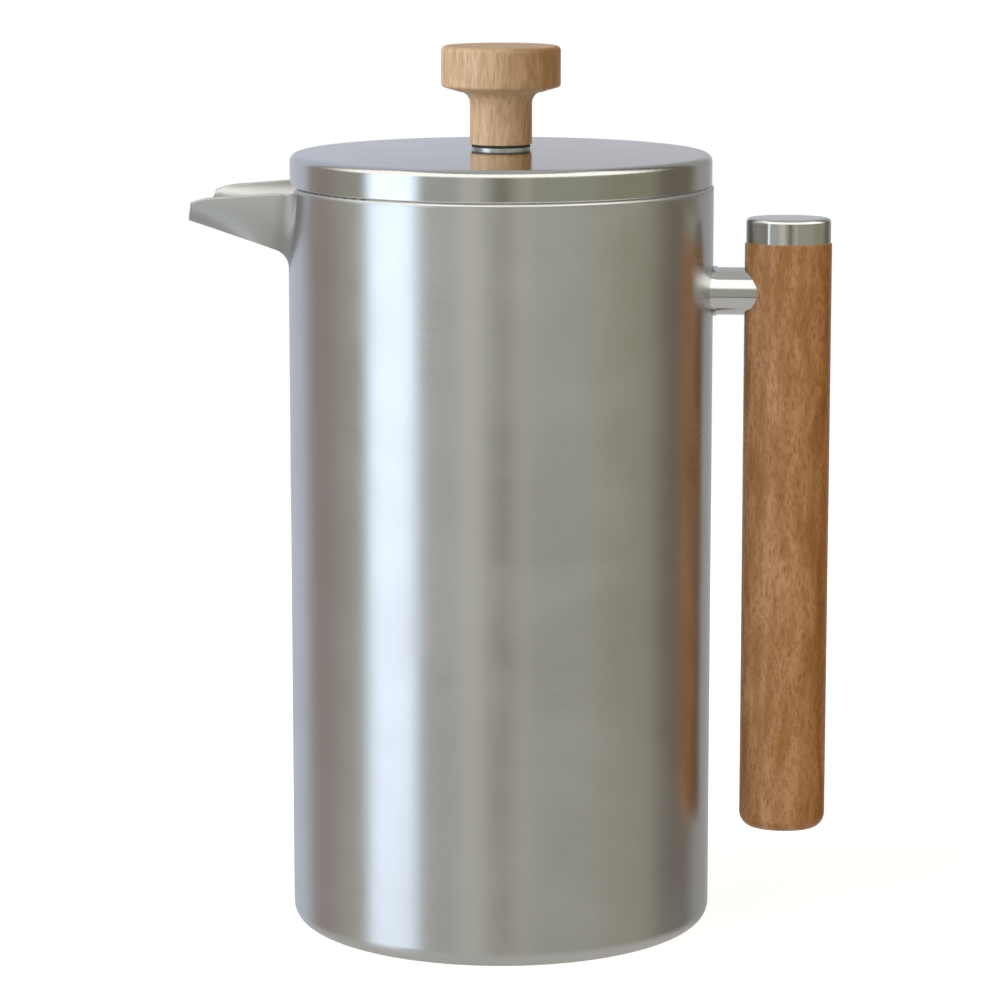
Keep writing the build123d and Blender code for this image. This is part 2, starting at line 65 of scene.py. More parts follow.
class Graph:
    """Short ways to add and join nodes in one node tree."""

    def __init__(self, tree: bpy.types.NodeTree) -> None:
        """Keep the tree and empty it.

        Args:
            tree: Node tree of a material, a world or a group.
        """
        self.tree = tree
        tree.nodes.clear()

    def add(self, kind: str, **settings: object) -> bpy.types.Node:
        """Add a node.

        Args:
            kind: Blender's class name of the node.
            **settings: Properties to set on it.

        Returns:
            The new node.
        """
        node = self.tree.nodes.new(kind)
        for name, value in settings.items():
            setattr(node, name, value)
        return node

    def feed(self, socket: Socket, value: object) -> None:
        """Link a socket to another one, or set its own value.

        Args:
            socket: Input that takes the value.
            value: Output socket, number, or tuple of numbers.
        """
        if isinstance(value, Socket):
            self.tree.links.new(value, socket)
        elif isinstance(value, tuple) and len(value) == 3 and socket.type == "RGBA":
            socket.default_value = (*value, 1.0)
        else:
            socket.default_value = value

    def math(self, operation: str, *values: object) -> Socket:
        """Add a Math node.

        Args:
            operation: Blender's name of the operation.
            *values: Numbers or sockets for its inputs.

        Returns:
            The node's result.
        """
        node = self.add("ShaderNodeMath", operation=operation)
        for socket, value in zip(node.inputs, values):
            self.feed(socket, value)
        return node.outputs[0]

    def product(self, *values: object) -> Socket:
        """Multiply values with each other.

        Args:
            *values: Two or more numbers or sockets.

        Returns:
            Their product.
        """
        return functools.reduce(functools.partial(self.math, "MULTIPLY"), values)

    def weigh(self, share: float, first: Socket, second: Socket) -> Socket:
        """Weigh two values against each other.

        Args:
            share: Share of the second value.
            first: First value.
            second: Second value.

        Returns:
            Their weighed mean.
        """
        return self.math("ADD", self.product(first, 1.0 - share), self.product(second, share))

    def vector(self, operation: str, *values: object) -> Socket:
        """Add a Vector Math node.

        Args:
            operation: Blender's name of the operation.
            *values: Tuples or sockets for its inputs.

        Returns:
            The node's vector result.
        """
        node = self.add("ShaderNodeVectorMath", operation=operation)
        for socket, value in zip(node.inputs, values):
            self.feed(socket, value)
        return node.outputs[0]

    def measure(self, operation: str, *values: object) -> Socket:
        """Add a Vector Math node that gives a number.

        Args:
            operation: Blender's name of the operation.
            *values: Tuples or sockets for its inputs.

        Returns:
            The node's value.
        """
        return self.vector(operation, *values).node.outputs["Value"]

    def combine(self, x: object, y: object, z: object) -> Socket:
        """Join three values into a vector.

        Args:
            x: First part.
            y: Second part.
            z: Third part.

        Returns:
            The vector.
        """
        node = self.add("ShaderNodeCombineXYZ")
        for socket, value in zip(node.inputs, (x, y, z)):
            self.feed(socket, value)
        return node.outputs[0]

    def split(self, vector: Socket) -> tuple[Socket, Socket, Socket]:
        """Split a vector into its three parts.

        Args:
            vector: Vector to split.

        Returns:
            The x, y and z sockets.
        """
        node = self.add("ShaderNodeSeparateXYZ")
        self.feed(node.inputs[0], vector)
        return node.outputs[0], node.outputs[1], node.outputs[2]

    def reach(self, point: Socket) -> Socket:
        """Measure how far a point is from the upright axis.

        Args:
            point: The point.

        Returns:
            The distance.
        """
        return self.measure("LENGTH", self.vector("MULTIPLY", point, (1.0, 1.0, 0.0)))

    def noise(
        self, vector: Socket, detail: float = 2.0, distortion: float = 0.0, scale: float = 1.0
    ) -> Socket:
        """Add a noise texture.

        Args:
            vector: Coordinates, already stretched.
            detail: Octaves of finer noise.
            distortion: How far the noise bends itself.
            scale: Even scale on top of the stretch.

        Returns:
            The noise value from 0 to 1.
        """
        node = self.add("ShaderNodeTexNoise")
        self.feed(node.inputs["Vector"], vector)
        self.feed(node.inputs["Scale"], scale)
        self.feed(node.inputs["Detail"], detail)
        self.feed(node.inputs["Distortion"], distortion)
        return node.outputs[0]

    def ease(self, value: Socket, start: float, end: float) -> Socket:
        """Rise smoothly from 0 to 1 between two values.

        Args:
            value: Value to follow.
            start: Where the result is 0.
            end: Where the result is 1, above or below the start.

        Returns:
            The eased value.
        """
        node = self.add("ShaderNodeMapRange", interpolation_type="SMOOTHSTEP")
        self.feed(node.inputs["Value"], value)
        self.feed(node.inputs["From Min"], start)
        self.feed(node.inputs["From Max"], end)
        return node.outputs[0]

    def remap(self, value: Socket, low: float, high: float) -> Socket:
        """Stretch a value from 0 to 1 onto another range.

        Args:
            value: Value to stretch.
            low: Result at 0.
            high: Result at 1.

        Returns:
            The stretched value.
        """
        node = self.add("ShaderNodeMapRange")
        self.feed(node.inputs["Value"], value)
        self.feed(node.inputs["To Min"], low)
        self.feed(node.inputs["To Max"], high)
        return node.outputs[0]

    def mix(self, share: Socket, first: object, second: object) -> Socket:
        """Mix two colours, or two vectors.

        Args:
            share: Share of the second one.
            first: First colour.
            second: Second colour.

        Returns:
            The mixed colour.
        """
        node = self.add("ShaderNodeMix", data_type="RGBA")
        # A Mix node has its colour sockets after those for numbers and vectors.
        self.feed(node.inputs[0], share)
        self.feed(node.inputs[6], first)
        self.feed(node.inputs[7], second)
        return node.outputs[2]

    def group(self, tree: bpy.types.NodeTree, **values: object) -> bpy.types.Node:
        """Place a node group.

        Args:
            tree: Group to place.
            **values: Values or sockets for its inputs, with spaces written as underscores.

        Returns:
            The group node.
        """
        node = self.add("ShaderNodeGroup", node_tree=tree)
        for name, value in values.items():
            self.feed(node.inputs[name.replace("_", " ")], value)
        return node

    def bump(self, height: Socket, distance: float, strength: float = 1.0) -> Socket:
        """Turn a height into a bent normal.

        Args:
            height: Height from 0 to 1.
            distance: Depth in metres that a height of 1 stands for.
            strength: Share of the effect.

        Returns:
            The normal.
        """
        node = self.add("ShaderNodeBump")
        self.feed(node.inputs["Height"], height)
        self.feed(node.inputs["Distance"], distance)
        self.feed(node.inputs["Strength"], strength)
        return node.outputs[0]


GroupParts = tuple[Graph, dict[str, Socket], bpy.types.Node]


@dataclass
class SurfaceEffects:
    """Node groups that several finishes share."""

    wide_scale: float = 0.22
    wide_share: float = 0.3
    line_span: Span = (0.3, 0.7)
    patch_span: Span = (0.35, 0.68)
    sway_stretch: Point = (70.0, 70.0, 32.0)
    sway_depth: float = 0.006
    dense_span: Span = (0.42, 0.66)
    dense_share: float = 0.7
    dash_scale: float = 0.8
    dash_span: Span = (0.5, 0.2)
    dash_pick: Span = (0.35, 0.9)
    tone_rise: float = 0.16
    tone_span: Span = (0.32, 0.68)
    pore_stretch: Point = (4200.0, 4200.0, 420.0)
    pore_span: Span = (0.45, 0.75)
    fleck_sink: float = 0.5

    def __post_init__(self) -> None:
        """Build the groups once."""
        self.brushed_lines = self._brushed_lines()
        self.handling_marks = self._handling_marks()
        self.beech_figure = self._beech_figure()

    @staticmethod
    def _open(name: str, inputs: dict[str, float | None], outputs: list[str]) -> GroupParts:
        """Start a group with its sockets.

        Args:
            name: Name of the group.
            inputs: Input names with their values, or None for a vector.
            outputs: Names of the value outputs.

        Returns:
            The group's graph, its input sockets by name and its output node.
        """
        tree = bpy.data.node_groups.new(name, "ShaderNodeTree")
        for label, value in inputs.items():
            kind = "NodeSocketVector" if value is None else "NodeSocketFloat"
            socket = tree.interface.new_socket(label, in_out="INPUT", socket_type=kind)
            if value is not None:
                socket.default_value = value
        for label in outputs:
            tree.interface.new_socket(label, in_out="OUTPUT", socket_type="NodeSocketFloat")
        graph = Graph(tree)
        entry = graph.add("NodeGroupInput")
        return graph, {label: entry.outputs[label] for label in inputs}, graph.add("NodeGroupOutput")

    def _brushed_lines(self) -> bpy.types.NodeTree:
        """Fine lines left by brushing, long in x and y and narrow in z.

        Returns:
            The group, with Lines and Height outputs.
        """
        inputs = {"Vector": None, "Across": 3500.0, "Along": 25.0}
        graph, entry, out = self._open("brushed_lines", inputs, ["Lines", "Height"])
        stretch = graph.combine(entry["Along"], entry["Along"], entry["Across"])
        placed = graph.vector("MULTIPLY", entry["Vector"], stretch)
        fine = graph.noise(placed, detail=3.0)
        wide = graph.noise(placed, detail=1.0, scale=self.wide_scale)
        lines = graph.weigh(self.wide_share, fine, wide)
        graph.feed(out.inputs["Lines"], graph.ease(lines, *self.line_span))
        graph.feed(out.inputs["Height"], fine)
        return graph.tree

    def _handling_marks(self) -> bpy.types.NodeTree:
        """Soft patches where a surface was wiped or held.

        Returns:
            The group, with a Patches output.
        """
        graph, entry, out = self._open("handling_marks", {"Vector": None, "Spread": 45.0}, ["Patches"])
        scaled = graph.vector("SCALE", entry["Vector"])
        graph.feed(scaled.node.inputs["Scale"], entry["Spread"])
        patches = graph.noise(scaled, detail=4.0, distortion=0.6)
        graph.feed(out.inputs["Patches"], graph.ease(patches, *self.patch_span))
        return graph.tree

    def _beech_figure(self) -> bpy.types.NodeTree:
        """Beech with its grain upright: broad tone, short wavy flecks and fine pores.

        Returns:
            The group, with Tone, Flecks, Pores and Height outputs.
        """
        inputs = {
            "Vector": None,
            "Fleck Width": 0.0012,
            "Fleck Length": 0.005,
            "Lean": 0.12,
            "Tone Width": 0.004,
        }
        graph, entry, out = self._open("beech_figure", inputs, ["Tone", "Flecks", "Pores", "Height"])
        sway = graph.noise(graph.vector("MULTIPLY", entry["Vector"], self.sway_stretch), detail=1.0)
        bend = graph.product(graph.math("SUBTRACT", sway, 0.5), self.sway_depth)
        rise = graph.split(entry["Vector"])[2]
        shift = graph.math("SUBTRACT", bend, graph.product(rise, entry["Lean"]))
        placed = graph.vector("ADD", entry["Vector"], graph.combine(shift, bend, 0.0))
        across = graph.math("DIVIDE", 1.0, entry["Fleck Width"])
        along = graph.math("DIVIDE", 1.0, entry["Fleck Length"])
        grain = graph.vector("MULTIPLY", placed, graph.combine(across, across, along))
        dense = graph.ease(graph.noise(grain, detail=3.0, distortion=1.0), *self.dense_span)
        cells = graph.add("ShaderNodeTexVoronoi", feature="F1")
        graph.feed(cells.inputs["Vector"], grain)
        graph.feed(cells.inputs["Scale"], self.dash_scale)
        dashes = graph.ease(cells.outputs["Distance"], *self.dash_span)
        picked = graph.ease(graph.split(cells.outputs["Color"])[0], *self.dash_pick)
        flecks = graph.math("MAXIMUM", graph.product(dense, self.dense_share), graph.product(dashes, picked))
        broad = graph.math("DIVIDE", 1.0, entry["Tone Width"])
        tone_stretch = graph.combine(broad, broad, graph.product(broad, self.tone_rise))
        tone = graph.noise(graph.vector("MULTIPLY", placed, tone_stretch), detail=3.0)
        pores = graph.noise(graph.vector("MULTIPLY", placed, self.pore_stretch), detail=2.0)
        sunk = graph.math("MAXIMUM", graph.product(flecks, self.fleck_sink), pores)
        graph.feed(out.inputs["Tone"], graph.ease(tone, *self.tone_span))
        graph.feed(out.inputs["Flecks"], flecks)
        graph.feed(out.inputs["Pores"], graph.ease(pores, *self.pore_span))
        graph.feed(out.inputs["Height"], graph.math("SUBTRACT", 1.0, sunk))
        return graph.tree


def new_material(name: str) -> tuple[bpy.types.Material, Graph, bpy.types.Node]:
    """Start a material with a Principled shader.

    Args:
        name: Name of the material.

    Returns:
        The material, its graph and its Principled node.
    """
    material = bpy.data.materials.new(name)
    material.use_nodes = True
    graph = Graph(material.node_tree)
    shader = graph.add("ShaderNodeBsdfPrincipled")
    output = graph.add("ShaderNodeOutputMaterial")
    graph.feed(output.inputs["Surface"], shader.outputs[0])
    return material, graph, shader


def new_object(name: str, shape: bmesh.types.BMesh) -> bpy.types.Object:
    """Turn a shape into an object of the scene.

    Args:
        name: Name of the object and of its mesh.
        shape: Shape, which is used up.

    Returns:
        The object.
    """
    mesh = bpy.data.meshes.new(name)
    shape.to_mesh(mesh)
    shape.free()
    thing = bpy.data.objects.new(name, mesh)
    bpy.context.scene.collection.objects.link(thing)
    return thing


def smooth_rounds(piece: bpy.types.Object, gap: float = 1e-6, sharp: float = 32.0) -> None:
    """Shade a piece's round faces evenly and keep its sharp edges.

    Args:
        piece: Object that gets the modifiers.
        gap: Distance in metres within which corners are joined.
        sharp: Angle in degrees from which an edge is sharp.
    """
    join = piece.modifiers.new("join", "WELD")
    join.merge_threshold = gap
    part = piece.modifiers.new("part", "EDGE_SPLIT")
    part.split_angle = math.radians(sharp)
    piece.modifiers.new("even", "WEIGHTED_NORMAL")


@dataclass(frozen=True)
class BeakFinish:
    """Duller finish of the beak, which is ground by hand after it is joined, with painted shade at its root.
    """

    start: float = 0.0529
    edge_start: float = 0.002
    edge: float = 0.0009
    edge_samples: int = 6
    rough: float = 0.36
    flat_span: Span = (0.93, 0.99)
    outside_span: Span = (0.2, 0.0)
    front_span: Span = (-0.03, -0.04)
    ring_half_width: float = 0.0262
    ring_depth: float = 0.0215
    ring_top: float = 0.1855
    ring_span: Span = (1.14, 0.96)
    root_end: float = 0.0045
    root_full: float = 0.0015
    # Painted shade at the beak's root where it meets the wall: its share and its darker colour.
    root_shade_share: float = 0.35
    root_painted_shade: Colour = (0.30, 0.295, 0.285)

    def normal(self, graph: Graph, place: Socket) -> Socket:
        """Normal with the beak's edges rounded off.

        Args:
            graph: Graph of the material.
            place: Point in the press's frame.

        Returns:
            The normal.
        """
        beyond_wall = graph.ease(graph.reach(place), self.start, self.start + self.edge_start)
        soft = graph.add("ShaderNodeBevel", samples=self.edge_samples)
        graph.feed(soft.inputs["Radius"], graph.product(beyond_wall, self.edge))
        return soft.outputs[0]

    def dull_and_shade(
        self, graph: Graph, place: Socket, facing: Socket, rounded: Socket, colour: Socket, rough: Socket
    ) -> tuple[Socket, Socket]:
        """Dull the outside of the beak, and paint shade into the colour at its root where it joins the wall.

        Args:
            graph: Graph of the material.
            place: Point in the press's frame.
            facing: Normal in the press's frame.
            rounded: Normal with its edges rounded off.
            colour: Colour of the plain steel.
            rough: Roughness of the plain steel.

        Returns:
            The colour with painted shade at the root, and the roughness with the beak's own.
        """
        x, y, z = graph.split(place)
        mesh_normal = graph.add("ShaderNodeNewGeometry").outputs["Normal"]
        flat = graph.ease(graph.measure("DOT_PRODUCT", mesh_normal, rounded), *self.flat_span)
        outside = graph.ease(graph.split(facing)[2], *self.outside_span)
        wide = graph.math("DIVIDE", y, self.ring_half_width)
        deep = graph.math("DIVIDE", graph.math("SUBTRACT", self.ring_top, z), self.ring_depth)
        ring = graph.ease(graph.measure("LENGTH", graph.combine(wide, deep, 0.0)), *self.ring_span)
        satin = graph.product(ring, graph.ease(x, *self.front_span), flat, outside)
        reach = graph.reach(place)
        joined = graph.ease(reach, self.start + self.root_end, self.start + self.root_full)
        # Painted shade: the root's colour is darkened where the beak meets the wall.
        root = graph.product(satin, joined, self.root_shade_share)
        duller = graph.math("ADD", rough, graph.product(satin, self.rough))
        return graph.mix(root, colour, self.root_painted_shade), duller


@dataclass(frozen=True)
class RimRound:
    """Rounded rim of the cup, shaded by its measures because its triangles are long."""

    outside: float = 0.0525
    inside: float = 0.0463
    top: float = 0.1855
    radius: float = 0.0009
    height: float = 0.0011
    agree_span: Span = (0.1, 0.3)

    def normal(self, graph: Graph, place: Socket) -> Socket:
        """Normal of the true round on the rim, and of the mesh elsewhere.

        Args:
            graph: Graph of the material.
            place: Point in the press's frame.

        Returns:
            The normal.
        """
        x, y, z = graph.split(place)
        reach = graph.reach(place)
        beyond = graph.math("MAXIMUM", graph.math("SUBTRACT", reach, self.outside - self.radius), 0.0)
        before = graph.math("MINIMUM", graph.math("SUBTRACT", reach, self.inside + self.radius), 0.0)
        aside = graph.math("DIVIDE", graph.math("ADD", beyond, before), reach)
        rise = graph.math("MAXIMUM", graph.math("SUBTRACT", z, self.top - self.radius), 0.0)
        true = graph.add(
            "ShaderNodeVectorTransform", vector_type="NORMAL", convert_from="OBJECT", convert_to="WORLD"
        )
        graph.feed(true.inputs[0], graph.combine(graph.product(x, aside), graph.product(y, aside), rise))
        mesh = graph.add("ShaderNodeNewGeometry").outputs
        likeness = graph.measure("DOT_PRODUCT", mesh["True Normal"], true.outputs[0])
        on_rim = graph.ease(z, self.top - self.height, self.top - self.radius)
        share = graph.product(graph.ease(likeness, *self.agree_span), on_rim)
        return graph.mix(share, mesh["Normal"], true.outputs[0])


@dataclass(frozen=True)
class Steel:
    """Stainless steel, from satin to polished."""

    name: str
    tint: Colour = (0.62, 0.615, 0.60)
    shade: Colour = (0.605, 0.60, 0.585)
    smooth: float = 0.22
    rough: float = 0.34
    patch_share: float = 0.7
    side_share: float = 1.0
    facing_span: Span = (0.35, 0.95)
    spread: float = 0.0
    spread_turn: float = 0.25
    line_depth: float = 2e-8
    across: float = 6000.0
    along: float = 30.0
    run: BrushRun = BrushRun.AROUND
    beak: BeakFinish | None = None
    rim: RimRound | None = None

    def make(self, effects: SurfaceEffects) -> bpy.types.Material:
        """Build the material.

        Args:
            effects: Shared node groups.

        Returns:
            The material.
        """
        material, graph, shader = new_material(self.name)
        coords = graph.add("ShaderNodeTexCoord").outputs
        place = coords["Object"]
        marks = graph.group(effects.handling_marks, Vector=place)
        lined = place
        if self.run is BrushRun.TURNED:
            x, y, z = graph.split(place)
            lined = graph.combine(x, y, graph.math("ADD", graph.reach(place), z))
        lines = graph.group(effects.brushed_lines, Vector=lined, Across=self.across, Along=self.along)
        streaks = lines.outputs["Lines"]
        colour = graph.mix(streaks, self.shade, self.tint)
        wear = graph.weigh(self.patch_share, streaks, marks.outputs["Patches"])
        rough = graph.remap(wear, self.smooth, self.rough)
        if self.side_share != 1.0:
            facing = graph.ease(graph.split(coords["Normal"])[2], *self.facing_span)
            rough = graph.product(rough, graph.remap(facing, self.side_share, 1.0))
        bend = graph.bump(lines.outputs["Height"], self.line_depth)
        if self.rim:
            graph.feed(bend.node.inputs["Normal"], self.rim.normal(graph, place))
        if self.beak:
            rounded = self.beak.normal(graph, place)
            graph.feed(bend.node.inputs["Normal"], rounded)
            # The beak is duller, with painted shade at its root.
            colour, rough = self.beak.dull_and_shade(graph, place, coords["Normal"], rounded, colour, rough)
        graph.feed(shader.inputs["Base Color"], colour)
        graph.feed(shader.inputs["Roughness"], rough)
        graph.feed(shader.inputs["Normal"], bend)
        shader.inputs["Metallic"].default_value = 1.0
        if self.spread:
            tangent = graph.add("ShaderNodeTangent", direction_type="RADIAL", axis="Z")
            graph.feed(shader.inputs["Tangent"], tangent.outputs[0])
            shader.inputs["Anisotropic"].default_value = self.spread
            shader.inputs["Anisotropic Rotation"].default_value = self.spread_turn
        return material


@dataclass(frozen=True)
class Beech:
    """Oiled beech with its grain upright."""

    name: str
    pale: Colour
    deep: Colour
    fleck: Colour
    fleck_strength: float
    fleck_width: float
    fleck_length: float
    tone_width: float
    lean: float = 0.05
    pore_strength: float = 0.25
    patch_spread: float = 70.0
    patch_share: float = 0.5
    smooth: float = 0.40
    rough: float = 0.56
    specular: float = 0.40
    relief: float = 0.00003
    relief_share: float = 0.6

    def make(self, effects: SurfaceEffects) -> bpy.types.Material:
        """Build the material.

        Args:
            effects: Shared node groups.

        Returns:
            The material.
        """
        material, graph, shader = new_material(self.name)
        place = graph.add("ShaderNodeTexCoord").outputs["Object"]
        figure = graph.group(
            effects.beech_figure,
            Vector=place,
            Fleck_Width=self.fleck_width,
            Fleck_Length=self.fleck_length,
            Lean=self.lean,
            Tone_Width=self.tone_width,
        ).outputs
        marks = graph.group(effects.handling_marks, Vector=place, Spread=self.patch_spread)
        wood = graph.mix(figure["Tone"], self.deep, self.pale)
        wood = graph.mix(graph.product(figure["Flecks"], self.fleck_strength), wood, self.fleck)
        wood = graph.mix(graph.product(figure["Pores"], self.pore_strength), wood, self.fleck)
        wear = graph.weigh(self.patch_share, figure["Pores"], marks.outputs["Patches"])
        graph.feed(shader.inputs["Base Color"], wood)
        graph.feed(shader.inputs["Roughness"], graph.remap(wear, self.smooth, self.rough))
        graph.feed(shader.inputs["Normal"], graph.bump(figure["Height"], self.relief, self.relief_share))
        shader.inputs["Specular IOR Level"].default_value = self.specular
        return material


@dataclass(frozen=True)
class Rubber:
    """Matt black rubber with a fine moulded skin."""

    name: str
    colour: Colour = (0.014, 0.012, 0.011)
    worn: Colour = (0.035, 0.032, 0.030)
    patch_spread: float = 400.0
    smooth: float = 0.55
    rough: float = 0.75
    skin_stretch: Point = (6000.0, 6000.0, 6000.0)
    relief: float = 0.00002
    relief_share: float = 0.5

    def make(self, effects: SurfaceEffects) -> bpy.types.Material:
        """Build the material.

        Args:
            effects: Shared node groups.

        Returns:
            The material.
        """
        material, graph, shader = new_material(self.name)
        place = graph.add("ShaderNodeTexCoord").outputs["Object"]
        marks = graph.group(effects.handling_marks, Vector=place, Spread=self.patch_spread)
        patches = marks.outputs["Patches"]
        skin = graph.noise(graph.vector("MULTIPLY", place, self.skin_stretch), detail=2.0)
        graph.feed(shader.inputs["Base Color"], graph.mix(patches, self.colour, self.worn))
        graph.feed(shader.inputs["Roughness"], graph.remap(patches, self.smooth, self.rough))
        graph.feed(shader.inputs["Normal"], graph.bump(skin, self.relief, self.relief_share))
        return material


@dataclass(frozen=True)
class WovenWire:
    """Fine woven wire, its wires along x and y, with painted shade in the openings between them."""

    name: str
    wire: Colour = (0.60, 0.595, 0.58)
    # Painted shade: the dark colour of the openings between the wires.
    gap: Colour = (0.05, 0.05, 0.048)
    pitch: float = 0.00042
    slant: float = 0.7
    wire_span: Span = (-0.35, 0.35)
    smooth: float = 0.32
    rough: float = 0.46
    relief: float = 0.00008
    relief_share: float = 0.6

    def make(self, effects: SurfaceEffects) -> bpy.types.Material:
        """Build the material.

        Args:
            effects: Shared node groups.

        Returns:
            The material.
        """
        material, graph, shader = new_material(self.name)
        place = graph.add("ShaderNodeTexCoord").outputs["Object"]
        x, y, z = graph.split(place)
        rise = graph.product(z, self.slant)
        first, second = (
            graph.math("SINE", graph.product(graph.math("ADD", along, rise), FULL_TURN / self.pitch))
            for along in (x, y)
        )
        weave = graph.math("MAXIMUM", first, second)
        wires = graph.ease(weave, *self.wire_span)
        marks = graph.group(effects.handling_marks, Vector=place)
        rough = graph.remap(marks.outputs["Patches"], self.smooth, self.rough)
        # The openings between the wires get the painted shade.
        graph.feed(shader.inputs["Base Color"], graph.mix(wires, self.gap, self.wire))
        graph.feed(shader.inputs["Roughness"], rough)
        graph.feed(shader.inputs["Normal"], graph.bump(weave, self.relief, self.relief_share))
        shader.inputs["Metallic"].default_value = 1.0
        return material


class Finishes:
    """All finishes of the press, by the record's slot names."""

    def __init__(self) -> None:
        """Build the shared effects and every material."""
        effects = SurfaceEffects()
        recipes = [
            Steel("brushed_steel", smooth=0.27, rough=0.34, spread=0.8, beak=BeakFinish()),
            Steel("lid_steel", smooth=0.10, rough=0.16, side_share=1.1, across=2600.0, run=BrushRun.TURNED),
            Steel("inner_steel", smooth=0.28, rough=0.42, rim=RimRound()),
            Steel("polished_steel", (0.68, 0.675, 0.66), (0.655, 0.65, 0.635), smooth=0.04, rough=0.09),
            Steel("plain_steel"),
            Steel("insert_brass", (0.74, 0.52, 0.22), (0.66, 0.45, 0.19), smooth=0.2, rough=0.32),
            Beech(
                "grip_wood",
                pale=(0.72, 0.42, 0.24),
                deep=(0.50, 0.255, 0.10),
                fleck=(0.33, 0.15, 0.055),
                fleck_strength=0.72,
                fleck_width=0.0007,
                fleck_length=0.0024,
                tone_width=0.0034,
                smooth=0.20,
                rough=0.34,
            ),
            Beech(
                "knob_wood",
                pale=(0.74, 0.515, 0.335),
                deep=(0.60, 0.40, 0.235),
                fleck=(0.395, 0.23, 0.112),
                fleck_strength=0.62,
                fleck_width=0.0008,
                fleck_length=0.006,
                tone_width=0.002,
                lean=0.0,
            ),
            Rubber("washer_rubber"),
            WovenWire("mesh_steel"),
        ]
        self.by_slot = {recipe.name: recipe.make(effects) for recipe in recipes}

    def dress(self, node: str, slot: str) -> None:
        """Give a CAD node a finish.

        Args:
            node: Name of the node.
            slot: Name of the finish.
        """
        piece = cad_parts[node]
        piece.data.materials.clear()
        piece.data.materials.append(self.by_slot[slot])
        if node in SMOOTHED:
            smooth_rounds(piece)
        log.info("%s dressed in %s", node, slot)


@dataclass
class DressedAssembly:
    """Sub-assembly whose shapes are all CAD nodes."""

    title: str
    nodes: dict[str, str]

    def build(self, finishes: Finishes) -> None:
        """Dress every node.

        Args:
            finishes: Finishes of the press.
        """
        for node, slot in self.nodes.items():
            finishes.dress(node, slot)
        log.info("%s: %d pieces", self.title, len(self.nodes))


@dataclass
class Vessel(DressedAssembly):
    """Double-walled body with its spout."""

    title: str = "vessel"
    nodes: dict[str, str] = field(
        default_factory=lambda: {
            "outer_shell": "brushed_steel",
            "spout": "brushed_steel",
            "inner_vessel": "inner_steel",
            "base_plate": "inner_steel",
        }
    )


@dataclass
class Handle(DressedAssembly):
    """Wooden grip on its steel post."""

    title: str = "handle"
    nodes: dict[str, str] = field(
        default_factory=lambda: {
            "post_collar": "polished_steel",
            "handle_post": "polished_steel",
            "handle_grip": "grip_wood",
            "handle_cap": "polished_steel",
            "handle_stud": "plain_steel",
        }
    )


@dataclass
class Lid(DressedAssembly):
    """Lid with its guide bush."""

    title: str = "lid"
    nodes: dict[str, str] = field(
        default_factory=lambda: {
            "lid_cover": "lid_steel",
            "lid_liner": "inner_steel",
            "lid_bush": "plain_steel",
            "bush_ring": "plain_steel",
        }
    )


@dataclass
class Plunger(DressedAssembly):
    """Rod with its knob and the filter stack."""

    title: str = "plunger"
    nodes: dict[str, str] = field(
        default_factory=lambda: {
            "plunger_rod": "polished_steel",
            "knob": "knob_wood",
            "knob_insert": "insert_brass",
            "knob_washer": "washer_rubber",
            "rod_collar": "plain_steel",
            "spiral_plate": "plain_steel",
            "filter_screen": "mesh_steel",
            "cross_plate": "plain_steel",
            "hub_nut": "plain_steel",
        }
    )


@dataclass
class SpringCoil:
    """Round wire wound about the edge of the spiral plate."""

    turns: int = 32
    steps_per_turn: int = 20
    sides: int = 8
    ring_radius: float = 0.0430
    coil_radius: float = 0.0019
    wire_radius: float = 0.00045
    height: float = 0.0191
    opening: float = 0.009
    run_step: float = 1e-4

    def _centre(self, share: float) -> Vector:
        """Find the middle of the wire.

        Args:
            share: Share of the wire's way round the plate.

        Returns:
            The point.
        """
        ring = (FULL_TURN - self.opening / self.ring_radius) * (share - 0.5)
        wind = FULL_TURN * self.turns * share
        reach = self.ring_radius - self.coil_radius * math.cos(wind)
        rise = self.height + self.coil_radius * math.sin(wind)
        return Vector((reach * math.cos(ring), reach * math.sin(ring), rise))

    def _section(self, share: float) -> list[Vector]:
        """Find the corners of the wire's section.

        Args:
            share: Share of the wire's way round the plate.

        Returns:
            The corners, in order.
        """
        middle = self._centre(share)
        run = (self._centre(share + self.run_step) - self._centre(share - self.run_step)).normalized()
        outward = Vector((middle.x, middle.y, 0.0)).normalized()
        side = (outward - run * outward.dot(run)).normalized()
        up = run.cross(side)
        angles = (FULL_TURN * corner / self.sides for corner in range(self.sides))
        spokes = (side * math.cos(angle) + up * math.sin(angle) for angle in angles)
        return [middle + spoke * self.wire_radius for spoke in spokes]

    def build(self, finishes: Finishes) -> bpy.types.Object:
        """Build the wire as one tube and set it on the plunger.

        Args:
            finishes: Finishes of the press.

        Returns:
            The coil.
        """
        shape = bmesh.new()
        steps = self.turns * self.steps_per_turn
        sections = [self._section(step / steps) for step in range(steps + 1)]
        rings = [[shape.verts.new(corner) for corner in section] for section in sections]
        for one, two in zip(rings, rings[1:]):
            for corner in range(self.sides):
                following = (corner + 1) % self.sides
                shape.faces.new((one[corner], one[following], two[following], two[corner])).smooth = True
        shape.faces.new(list(reversed(rings[0])))
        shape.faces.new(rings[-1])
        coil = new_object("round_wire_coil", shape)
        coil.data.materials.append(finishes.by_slot["plain_steel"])
        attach(coil, "plunger")
        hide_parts("spring_coil")
        log.info("%s: %d turns of round wire", coil.name, self.turns)
        return coil


